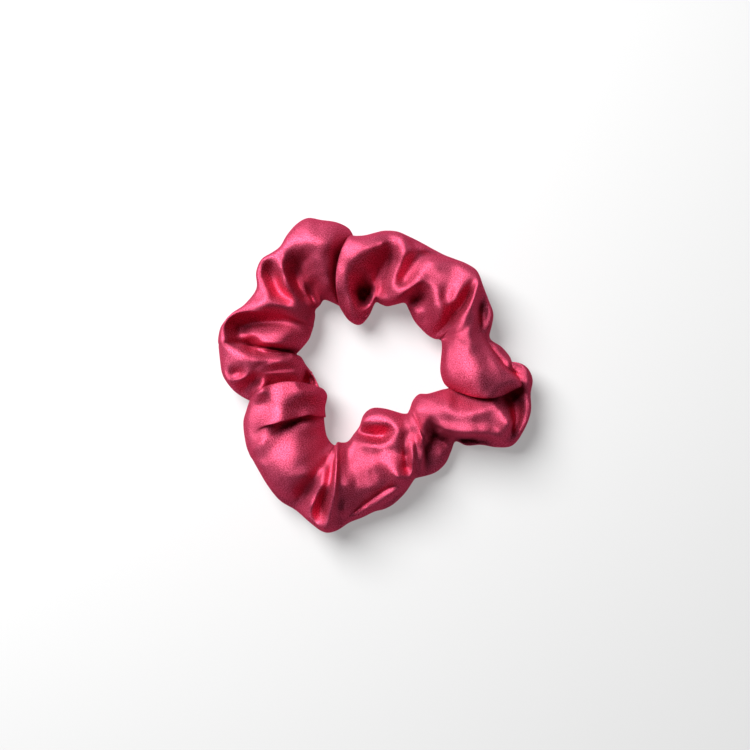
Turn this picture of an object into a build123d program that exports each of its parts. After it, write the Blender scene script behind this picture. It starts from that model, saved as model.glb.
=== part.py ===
"""A gathered satin scrunchie: a wide fabric sleeve closed on itself round a short loop of flat elastic.

Millimetres, +Z up.  The scrunchie lies flat on Z = 0 and the origin is the middle of its underside.
The sleeve is one piece of cloth on the real object.  It is made here as two half rings, one for the
side that is held and one for the side that is pulled, so that the loop can be stretched along +X.
"""

from build123d import *
import math
import os

# ---------------------------------------------------------------- driving dimensions
RING_CENTRE = (-1.95, 2.77)    # middle of the hair opening, which is off the middle of the outline
CORE_HEIGHT = 13.6             # height of the sleeve's middle above the table
CLOTH_WALL = 1.0               # gathered satin, both layers of a pleat together
HIGHEST_HALF = 15.5            # half the height that the fullest gathers come near to
HEIGHT_POWER = 6               # how sharply a section's height stops growing with its width
SECTION_STEP = 7.5             # degrees between the sections that shape the sleeve
PARTING_HALF_ANGLE = 0.3       # half the slit between the two half rings, degrees

# The gathers, every 15 degrees round the ring: how near the sleeve comes to the ring's centre,
# and how far it reaches from it.
GATHERS = [
    (0, 23.5, 52.5), (15, 24.0, 44.0), (30, 22.0, 45.5), (45, 21.5, 47.5),
    (60, 23.5, 45.0), (75, 21.0, 46.0), (90, 17.5, 44.5), (105, 16.0, 51.5),
    (120, 23.0, 53.0), (135, 25.0, 50.0), (150, 22.5, 46.5), (165, 24.0, 51.5),
    (180, 21.5, 50.5), (195, 18.5, 45.5), (210, 17.5, 48.0), (225, 21.0, 51.5),
    (240, 26.5, 54.0), (255, 22.5, 57.0), (270, 15.0, 51.5), (285, 15.0, 44.0),
    (300, 18.0, 42.0), (315, 19.0, 42.5), (330, 19.5, 52.0), (345, 23.5, 56.5),
]

ELASTIC_RADIUS = 31.0          # middle of the elastic's thickness, relaxed
ELASTIC_HEIGHT = 9.8           # height of the middle of its width, under the lowest folds
ELASTIC_WIDTH = 6.0
ELASTIC_THICKNESS = 1.0
LAYER_GAP = 0.06               # between the overlapped ends of the elastic
JOIN_ANGLE = 196.0             # where the elastic is joined and the sleeve's ends meet
JOIN_LENGTH_ANGLE = 26.0       # how far one end of the elastic lies over the other
JOG_ANGLE = 12.0               # where the upper end steps over the lower one

THREAD_RADIUS = 0.2
SEAM_STITCH, SEAM_PITCH = 2.3, 3.0
SEAM_SIDE_ANGLE = -38.0        # the long seam runs below the outer edge of the sleeve
TOPSTITCH, TOPSTITCH_PITCH = 1.9, 2.5
TOPSTITCH_FROM, TOPSTITCH_TO = 172.0, 214.0
TOPSTITCH_SIDE_ANGLE = -26.0
END_SEAM_STITCHES = 26
END_SEAM_FROM = 5.3            # side angle of its first stitch, so that it clears the long seam
ZIGZAG_HOLES = 9
ZIGZAG_HALF_WIDTH = 2.0


# ---------------------------------------------------------------- the sleeve's shape
def between(values, angle):
    """A smooth curve through values, which are spaced evenly round the whole circle."""
    step = 360.0 / len(values)
    first = math.floor(angle / step)
    t = angle / step - first
    a, b, c, d = (values[(first + k) % len(values)] for k in (-1, 0, 1, 2))
    slope_b, slope_c = (c - a) / 2, (d - b) / 2
    return (
        b * (2 * t**3 - 3 * t**2 + 1)
        + slope_b * (t**3 - 2 * t**2 + t)
        + c * (3 * t**2 - 2 * t**3)
        + slope_c * (t**3 - t**2)
    )


def section(angle):
    """(distance of the sleeve's middle from the ring's centre, half its width, half its height)."""
    inner = between([gather[1] for gather in GATHERS], angle)
    outer = between([gather[2] for gather in GATHERS], angle)
    half_width = (outer - inner) / 2
    fullness = (half_width / HIGHEST_HALF) ** HEIGHT_POWER
    half_height = half_width / (1 + fullness) ** (1 / HEIGHT_POWER)
    return (inner + outer) / 2, half_width, half_height


def radial_plane(angle):
    """The upright plane through the ring's centre at that angle: local X outward, local Y up."""
    outward = Vector(math.cos(math.radians(angle)), math.sin(math.radians(angle)), 0)
    origin = Vector(*RING_CENTRE, CORE_HEIGHT)
    return Plane(origin=origin, x_dir=outward, z_dir=outward.cross(Vector(0, 0, 1)))


def on_sleeve(angle, side_angle, depth=0.0):
    """A point of the sleeve's surface, depth below it.  A side angle of 0 is the outer edge, 90 the top."""
    middle, half_width, half_height = section(angle)
    side = math.radians(side_angle)
    across = middle + (half_width - depth) * math.cos(side)
    up = (half_height - depth) * math.sin(side)
    return radial_plane(angle).from_local_coords(Vector(across, up, 0))


def sections(first, last, depth):
    """The sleeve's sections from one angle to another, as faces, depth inside its surface."""
    count, faces = round((last - first) / SECTION_STEP), []
    for i in range(count + 1):
        angle = first + (last - first) * i / count
        middle, half_width, half_height = section(angle)
        with BuildSketch(radial_plane(angle)) as outline:
            with Locations((middle, 0)):
                Ellipse(half_width - depth, half_height - depth)
        faces.append(outline.sketch.face())
    return faces


def core_arc(first, last):
    """The arc down the middle of the sleeve from one angle to another, which its sections follow."""
    with BuildLine(Plane.XY.offset(CORE_HEIGHT)) as arc:
        CenterArc(RING_CENTRE, ELASTIC_RADIUS, first, last - first)
    return arc.wire()


def stitch_planes(points, pitch):
    """A plane at the middle of each stitch along a line of points, with its Z along the line."""
    planes, travelled = [], 0.0
    for start, end in zip(points, points[1:]):
        travelled += (end - start).length
        if travelled >= pitch:
            travelled -= pitch
            planes.append(Plane(origin=start, z_dir=end - start))
    return planes


def seam_points(first, last, side_angle, depth):
    """Points along the sleeve, a quarter of a degree apart."""
    count = round((last - first) * 4)
    return [on_sleeve(first + i / 4, side_angle, depth) for i in range(count + 1)]


# ---------------------------------------------------------------- satin sleeve, in two half rings
HELD = (90 + PARTING_HALF_ANGLE, 270 - PARTING_HALF_ANGLE)
PULLED = (-90 + PARTING_HALF_ANGLE, 90 - PARTING_HALF_ANGLE)

with BuildPart() as sleeve_held_side:
    core = core_arc(*HELD)
    sweep(sections(*HELD, 0), path=core, multisection=True)
    sweep(sections(*HELD, CLOTH_WALL), path=core, multisection=True, mode=Mode.SUBTRACT)
    split(bisect_by=Plane.XY, keep=Keep.TOP)

with BuildPart() as sleeve_pulled_side:
    core = core_arc(*PULLED)
    sweep(sections(*PULLED, 0), path=core, multisection=True)
    sweep(sections(*PULLED, CLOTH_WALL), path=core, multisection=True, mode=Mode.SUBTRACT)
    split(bisect_by=Plane.XY, keep=Keep.TOP)

# ---------------------------------------------------------------- flat elastic, ends overlapped
JOIN_RADIUS = ELASTIC_RADIUS + ELASTIC_THICKNESS + LAYER_GAP
join_start = JOIN_ANGLE - JOIN_LENGTH_ANGLE / 2
join_end = JOIN_ANGLE + JOIN_LENGTH_ANGLE / 2
jog_start = join_start - JOG_ANGLE


def around(radius, angle):
    """A point at that distance and angle from the ring's centre, in plan."""
    turn = math.radians(angle)
    return Vector(RING_CENTRE[0] + radius * math.cos(turn), RING_CENTRE[1] + radius * math.sin(turn))


def along(angle):
    """The direction of travel anticlockwise round the ring, in plan."""
    turn = math.radians(angle)
    return Vector(-math.sin(turn), math.cos(turn))


with BuildPart() as elastic_band:
    with BuildSketch(Plane.XY.offset(ELASTIC_HEIGHT - ELASTIC_WIDTH / 2)):
        with BuildLine():
            CenterArc(RING_CENTRE, ELASTIC_RADIUS, join_start, 360 - JOG_ANGLE)
            Spline(
                around(ELASTIC_RADIUS, jog_start),
                around(JOIN_RADIUS, join_start),
                tangents=(along(jog_start), along(join_start)),
            )
            CenterArc(RING_CENTRE, JOIN_RADIUS, join_start, JOIN_LENGTH_ANGLE)
        trace(line_width=ELASTIC_THICKNESS)
    extrude(amount=ELASTIC_WIDTH)

# ---------------------------------------------------------------- thread that joins the elastic
INNER_FACE = ELASTIC_RADIUS - ELASTIC_THICKNESS / 2
OUTER_FACE = JOIN_RADIUS + ELASTIC_THICKNESS / 2


def zigzag_point(i, radius):
    """Where the zigzag's thread turns at its hole number i, on a face of the elastic."""
    margin = JOIN_LENGTH_ANGLE / 6
    angle = join_start + margin + (JOIN_LENGTH_ANGLE - 2 * margin) * i / (ZIGZAG_HOLES - 1)
    up = ELASTIC_HEIGHT - CORE_HEIGHT + ZIGZAG_HALF_WIDTH * (1 if i % 2 else -1)
    return radial_plane(angle).from_local_coords(Vector(radius, up, 0))


def thread(start, end):
    """A straight run of thread with round ends, added to the builder in use."""
    run = end - start
    with Locations(Plane(origin=(start + end) * 0.5, z_dir=run)):
        Cylinder(THREAD_RADIUS, run.length)
    with Locations(start, end):
        Sphere(THREAD_RADIUS)


with BuildPart() as elastic_join_thread:
    for hole in range(ZIGZAG_HOLES):
        thread(zigzag_point(hole, INNER_FACE), zigzag_point(hole, OUTER_FACE))
        if hole:
            thread(zigzag_point(hole - 1, INNER_FACE), zigzag_point(hole, INNER_FACE))
            thread(zigzag_point(hole - 1, OUTER_FACE), zigzag_point(hole, OUTER_FACE))

# ---------------------------------------------------------------- threads of the sleeve
SEAM_MARGIN = 2.0              # degrees kept clear of the slit between the half rings

with BuildPart() as long_seam_held_side:
    line = seam_points(90 + SEAM_MARGIN, 270 - SEAM_MARGIN, SEAM_SIDE_ANGLE, CLOTH_WALL)
    with Locations(*stitch_planes(line, SEAM_PITCH)):
        Cylinder(THREAD_RADIUS, SEAM_STITCH)

with BuildPart() as long_seam_pulled_side:
    line = seam_points(-90 + SEAM_MARGIN, 90 - SEAM_MARGIN, SEAM_SIDE_ANGLE, CLOTH_WALL)
    with Locations(*stitch_planes(line, SEAM_PITCH)):
        Cylinder(THREAD_RADIUS, SEAM_STITCH)

with BuildPart() as end_seam_thread:
    turn = 360.0 / END_SEAM_STITCHES
    for stitch in range(END_SEAM_STITCHES):
        side = END_SEAM_FROM + stitch * turn
        start = on_sleeve(JOIN_ANGLE, side, CLOTH_WALL)
        end = on_sleeve(JOIN_ANGLE, side + 0.75 * turn, CLOTH_WALL)
        with Locations(Plane(origin=(start + end) * 0.5, z_dir=end - start)):
            Cylinder(THREAD_RADIUS, (end - start).length)

with BuildPart() as closing_topstitch:
    line = seam_points(TOPSTITCH_FROM, TOPSTITCH_TO, TOPSTITCH_SIDE_ANGLE, 0)
    with Locations(*stitch_planes(line, TOPSTITCH_PITCH)):
        Cylinder(THREAD_RADIUS, TOPSTITCH)

# ---------------------------------------------------------------- one STEP file for each sub-part
pieces = {
    "sleeve_held_side": sleeve_held_side,
    "sleeve_pulled_side": sleeve_pulled_side,
    "elastic_band": elastic_band,
    "elastic_join_thread": elastic_join_thread,
    "long_seam_held_side": long_seam_held_side,
    "long_seam_pulled_side": long_seam_pulled_side,
    "end_seam_thread": end_seam_thread,
    "closing_topstitch": closing_topstitch,
}

os.makedirs("parts", exist_ok=True)
for name, piece in pieces.items():
    piece.part.label = name
    export_step(piece.part, f"parts/{name}.step")
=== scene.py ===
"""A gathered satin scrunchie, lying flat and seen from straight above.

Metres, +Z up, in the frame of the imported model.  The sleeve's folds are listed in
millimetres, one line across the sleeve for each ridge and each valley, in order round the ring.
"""

import math

import bpy
import numpy as np
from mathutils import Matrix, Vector


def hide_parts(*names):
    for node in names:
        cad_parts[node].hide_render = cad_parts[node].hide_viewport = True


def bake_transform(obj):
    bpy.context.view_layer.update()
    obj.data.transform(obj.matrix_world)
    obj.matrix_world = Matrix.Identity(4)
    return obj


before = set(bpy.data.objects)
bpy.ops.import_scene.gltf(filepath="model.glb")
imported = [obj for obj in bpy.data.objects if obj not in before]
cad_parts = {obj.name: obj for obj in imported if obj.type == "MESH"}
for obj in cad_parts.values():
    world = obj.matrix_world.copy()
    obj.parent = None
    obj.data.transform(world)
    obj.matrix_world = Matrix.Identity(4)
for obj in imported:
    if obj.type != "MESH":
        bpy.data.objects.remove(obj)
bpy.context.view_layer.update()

MM = 0.001

# ---------------------------------------------------------------- camera and light
CAMERA_DISTANCE = 0.417
CAMERA_LENS, SENSOR = 60.0, 36.0
MIDDLE_HEIGHT = 13.0 * MM
KEY_PLACE, KEY_SIZE, KEY_POWER = (-0.36, 0.38, 0.62), 0.55, 11.4
FLOOR_SIZE = 20.0
FLOOR_GLOW = 0.28                           # the floor's own brightness, which the surround starts from
PALE_UP_TO = 0.3                            # sine of the height at which the surround gets dark


def look_at(obj, target):
    """Turns obj's -Z axis towards target, with its X axis level."""
    direction = obj.location - Vector(target)
    if abs(direction.x) < 1e-6 and abs(direction.y) < 1e-6:
        obj.rotation_euler = (0, 0, 0)
    else:
        obj.rotation_euler = direction.to_track_quat("Z", "Y").to_euler()


def add_camera():
    """A camera straight above the object."""
    data = bpy.data.cameras.new("camera")
    data.lens = CAMERA_LENS
    data.sensor_width = SENSOR
    camera = bpy.data.objects.new("camera", data)
    bpy.context.scene.collection.objects.link(camera)
    camera.location = (0, 0, MIDDLE_HEIGHT + CAMERA_DISTANCE)
    look_at(camera, (0, 0, MIDDLE_HEIGHT))
    bpy.context.scene.camera = camera


def add_key_light():
    """A window-like light from the upper left."""
    data = bpy.data.lights.new("key", "AREA")
    data.shape = "DISK"
    data.size = KEY_SIZE
    data.energy = KEY_POWER
    light = bpy.data.objects.new("key", data)
    bpy.context.scene.collection.objects.link(light)
    light.location = KEY_PLACE
    look_at(light, (0, 0, 0.01))


def add_surround():
    """A surround that is pale only near the horizon, and the view's contrast."""
    world = bpy.data.worlds.new("surround")
    world.use_nodes = True
    nodes, links = world.node_tree.nodes, world.node_tree.links
    background = nodes["Background"]
    background.inputs["Color"].default_value = (1, 1, 1, 1)
    direction = nodes.new("ShaderNodeTexCoord")
    split = nodes.new("ShaderNodeSeparateXYZ")
    links.new(direction.outputs["Generated"], split.inputs["Vector"])
    strength = nodes.new("ShaderNodeMapRange")
    strength.inputs["From Max"].default_value = PALE_UP_TO
    strength.inputs["To Min"].default_value = FLOOR_GLOW
    strength.inputs["To Max"].default_value = 0.01
    links.new(split.outputs["Z"], strength.inputs["Value"])
    links.new(strength.outputs["Result"], background.inputs["Strength"])
    bpy.context.scene.world = world
    bpy.context.scene.view_settings.view_transform = "Standard"
    bpy.context.scene.view_settings.look = "High Contrast"


def new_material(name):
    """A material, with its shader and its node tree's nodes and links."""
    material = bpy.data.materials.new(name)
    material.use_nodes = True
    nodes, links = material.node_tree.nodes, material.node_tree.links
    return material, nodes["Principled BSDF"], nodes, links


def add_bump(nodes, links, height, strength, distance):
    """Bumps under the light from a height socket."""
    bump = nodes.new("ShaderNodeBump")
    bump.inputs["Strength"].default_value = strength
    bump.inputs["Distance"].default_value = distance
    links.new(height, bump.inputs["Height"])
    links.new(bump.outputs["Normal"], nodes["Principled BSDF"].inputs["Normal"])


def add_colours(nodes, links, factor, *stops):
    """Colours from a factor socket, between two stops of (position, red, green, blue)."""
    ramp = nodes.new("ShaderNodeValToRGB")
    for element, (position, *colour) in zip(ramp.color_ramp.elements, stops):
        element.position = position
        element.color = (*colour, 1)
    links.new(factor, ramp.inputs["Fac"])
    links.new(ramp.outputs["Color"], nodes["Principled BSDF"].inputs["Base Color"])


def add_floor():
    """A wide pale floor."""
    bpy.ops.mesh.primitive_plane_add(size=FLOOR_SIZE, location=(0, 0, 0))
    floor = bpy.context.object
    floor.name = "floor"
    material, shader, _, _ = new_material("floor")
    shader.inputs["Base Color"].default_value = (0.33, 0.33, 0.33, 1)
    shader.inputs["Roughness"].default_value = 0.9
    shader.inputs["Emission Color"].default_value = (1, 1, 1, 1)
    shader.inputs["Emission Strength"].default_value = FLOOR_GLOW
    floor.data.materials.append(material)


# ---------------------------------------------------------------- the sleeve's folds
# (inner x, y), (outer x, y), bow, (heights at 10, 30, 50, 70, 90 % from inner to outer)
FOLDS = [
    # the closing seam and the groove under the next lobe
    ((-21, 0.5), (-48.5, -4.5), -2.2, (12, 16, 18, 17, 13)),
    ((-18, -5.5), (-42, -9), -2.5, (9, 12, 13, 12, 8)),
    # lower left lobe, whose upper edge stands over the groove
    ((-17.3, -4.8), (-41.8, -7.6), -4, (15, 20, 22, 21, 15)),
    ((-16, -6.8), (-43.2, -12), -1.5, (15, 21, 25, 24, 18)),
    ((-16.7, -11.5), (-44.1, -18), 0.5, (15, 19, 25, 24, 18)),
    ((-16.5, -14.3), (-43.2, -23.6), -4.6, (14, 19, 23, 22, 18)),
    ((-17, -14), (-42.2, -26.6), -4.2, (12, 17, 20, 21, 17)),
    # bottom left lobe, large and smooth
    ((-16.9, -17), (-41, -28.6), -1.5, (12, 18, 21, 21, 17)),
    ((-16.2, -20.5), (-39, -32), 0, (14, 21, 24, 23, 18)),
    ((-14.8, -22.8), (-36, -37), 0, (14, 22, 24, 23, 18)),
    ((-13.8, -23.4), (-32, -42.3), 0, (16, 22, 24, 20, 15)),
    ((-13.4, -23.6), (-27, -45.8), 0, (16, 20, 19, 14, 10)),
    ((-13.2, -23.4), (-21.5, -49.8), 0, (17, 21, 22, 21, 17)),
    ((-13, -23.2), (-18.3, -52.3), 0.5, (17, 19, 19, 17, 16)),
    # sharp ridge across the bottom
    ((-12.5, -22.3), (-15.6, -53), 0.8, (18, 22, 23, 21, 17)),
    ((-11.2, -22.6), (-12.2, -52.2), 0, (16, 20, 21, 18, 13)),
    ((-9.3, -22.4), (-9, -50.2), 0, (14, 20, 23, 19, 11)),
    ((-7, -19.6), (-4.2, -48.2), 0, (15, 20, 22, 20, 12)),
    ((-5.2, -17), (0, -46.2), 0, (16, 19, 21, 20, 12)),
    ((-3.8, -13.2), (3, -45.4), 0, (17, 18, 19, 20, 13)),
    ((-1, -11), (6, -43.8), 0, (18, 16, 20, 21, 14)),
    ((3, -11.1), (8.6, -41.4), 0, (18, 18, 20, 21, 15)),
    ((7, -12.2), (10.6, -39.2), 0, (18, 19, 18, 18, 14)),
    ((9.4, -12.9), (11.8, -37.4), 0, (17, 18, 17, 17, 14)),
    # narrow pleats beside the shadowed part
    ((10.4, -12.9), (12.6, -36.2), 0.4, (17, 18, 19, 19, 14)),
    ((11, -12.6), (13.6, -35), 1.4, (17, 18, 17, 16, 12)),
    ((11.4, -11.8), (15, -34.6), 2.4, (17, 18, 18, 16, 12)),
    ((11.8, -10.8), (17.5, -34.2), 1.6, (16, 17, 11, 11, 9)),
    ((12.6, -8.6), (20.5, -33.2), 1, (17, 19, 10, 11, 9)),
    # band that runs right, low outer side in its shadow
    ((14.4, -6.5), (23.6, -30.6), 0, (17, 21, 11, 12, 9)),
    ((17.8, -6.2), (26, -25.8), 0, (18, 22, 21, 9, 8)),
    ((22, -5), (27.4, -22.6), 0, (17, 22, 23, 20, 9)),
    ((25.5, -4), (31, -24), 0, (14, 20, 23, 21, 10)),
    ((28, -2), (36, -23.7), 0, (12, 17, 23, 21, 11)),
    ((30, 0), (41, -24.5), 0, (11, 16, 23, 21, 12)),
    ((31.5, 1), (46, -24), 0, (11, 14, 21, 20, 14)),
    ((33, 2), (50.2, -18.6), 0, (11, 12, 17, 18, 14)),
    # right end, which turns back under the next lobe
    ((34, 3), (52.4, -12), 0, (11, 11, 13, 14, 15)),
    ((34.5, 4), (52.3, -6), 0, (11, 11, 11, 11, 14)),
    ((34.5, 5), (53, -1.4), 0, (10, 10, 10, 12, 14)),
    ((34.5, 5.5), (51.6, 2), 0, (10, 10, 10, 12, 14)),
    ((34.5, 6), (49.2, 3.9), 0, (9, 9, 9, 10, 12)),
    ((34.5, 6), (46.6, 4.2), 0, (8, 8, 8, 8, 9)),
    # lower edge of the right lobe, which stands over the band and the end
    ((24.5, -4.2), (49.6, -2.2), -4.2, (15, 20, 21, 19, 17)),
    ((22.8, -2.2), (48, 0.8), -3.4, (17, 23, 24, 20, 16)),
    ((21.8, 1.5), (46.2, 3.9), -1.8, (18, 24, 25, 20, 16)),
    ((22, 5), (45.4, 6.2), -0.4, (18, 24, 24, 19, 15)),
    ((22.4, 8.8), (42.8, 9.4), 0, (17, 23, 23, 18, 14)),
    ((22.3, 11.4), (38.7, 12.8), 0, (15, 21, 22, 18, 12)),
    # upper right, folds fanning from the inner edge
    ((21.8, 11.9), (39.4, 16.5), 0, (13, 19, 21, 16, 13)),
    ((21.6, 12), (40, 20.5), 0, (13, 19, 20, 15, 13)),
    ((21.4, 12), (38.3, 25.5), 0, (13, 19, 21, 18, 13)),
    ((21, 12), (36.2, 30), 0, (14, 20, 22, 23, 18)),
    ((19.6, 12.3), (35.2, 33), 0, (12, 16, 18, 20, 18)),
    ((17.6, 13.5), (34, 35.2), 0, (13, 18, 20, 22, 18)),
    ((15.4, 15.6), (30.8, 37.4), 0, (14, 20, 19, 20, 17)),
    ((13.2, 18.2), (27, 39), 0, (14, 19, 21, 21, 16)),
    ((11.4, 22), (23.2, 40.5), 0, (12, 16, 20, 20, 15)),
    ((10, 24.2), (19.5, 42.6), 0, (15, 20, 21, 19, 13)),
    ((6.8, 23.5), (15.5, 44.8), 0, (18, 18, 18, 18, 13)),
    ((4, 23), (11.5, 46.5), 0, (17, 16, 17, 20, 17)),
    ((2, 23.7), (7.5, 48.1), 0, (15, 14, 15, 19, 18)),
    # upper middle lobe, with a deep hollow above its tip
    ((0.2, 24.4), (3.5, 48.4), 0, (12, 14, 18, 22, 18)),
    ((-2.2, 19.6), (0.5, 47.8), 0, (12, 10, 17, 23, 19)),
    ((-5, 16.8), (-2.5, 47), 0, (13, 10, 17, 24, 19)),
    ((-8.6, 18.1), (-5.2, 46.6), 0.5, (14, 17, 20, 24, 19)),
    ((-11.8, 22.8), (-8.2, 46.8), 2.6, (16, 20, 21, 22, 18)),
    ((-11.2, 22.8), (-7.4, 47.2), 1.6, (10, 12, 13, 13, 11)),
    # upper left lobe, the largest
    ((-13.6, 24), (-9, 49.6), 1.6, (13, 16, 18, 18, 14)),
    ((-16.6, 25.2), (-13.5, 51.3), 0, (14, 18, 22, 24, 19)),
    ((-17.6, 25), (-18, 51.9), 0, (13, 17, 22, 25, 20)),
    ((-18.4, 23.8), (-22.5, 52.6), 0, (11, 14, 20, 25, 20)),
    ((-19, 23.2), (-26.2, 50.6), 0, (9, 11, 16, 23, 19)),
    ((-19.6, 22.6), (-29.4, 47), 0, (10, 12, 16, 22, 19)),
    ((-20, 22), (-32.2, 42.6), 0, (12, 17, 20, 22, 19)),
    ((-20.2, 21.2), (-35, 40.8), 0, (13, 17, 20, 21, 18)),
    ((-20.1, 20.4), (-37.8, 39.2), 0, (13, 17, 18, 17, 17)),
    ((-20.2, 19), (-39.9, 34.6), 0, (13, 16, 18, 18, 17)),
    ((-20.5, 17.6), (-39.8, 29.2), 0, (13, 16, 18, 18, 16)),
    ((-20.6, 16.6), (-44, 23.6), -0.5, (13, 16, 18, 18, 16)),
    # ridge and valley that curl round the left
    ((-20.9, 15.6), (-48.8, 19.8), -2, (12, 15, 17, 19, 17)),
    ((-21.3, 14.2), (-51.2, 17), -1.5, (11, 14, 15, 15, 17)),
    ((-22.6, 11.4), (-52.5, 13.4), 0, (12, 17, 18, 15, 17)),
    ((-24.8, 8.8), (-52.6, 11.2), -0.5, (11, 17, 17, 14, 18)),
    ((-26.4, 7.3), (-52.4, 10.2), -0.8, (8, 12, 14, 17, 18)),
    ((-26, 6.8), (-52.4, 9.2), -0.8, (12, 17, 20, 20, 18)),
    ((-24.8, 6), (-52, 5.2), 0, (12, 17, 20, 21, 18)),
    ((-23.2, 3.4), (-51, -0.4), 0.5, (12, 16, 19, 18, 17)),
]

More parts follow.
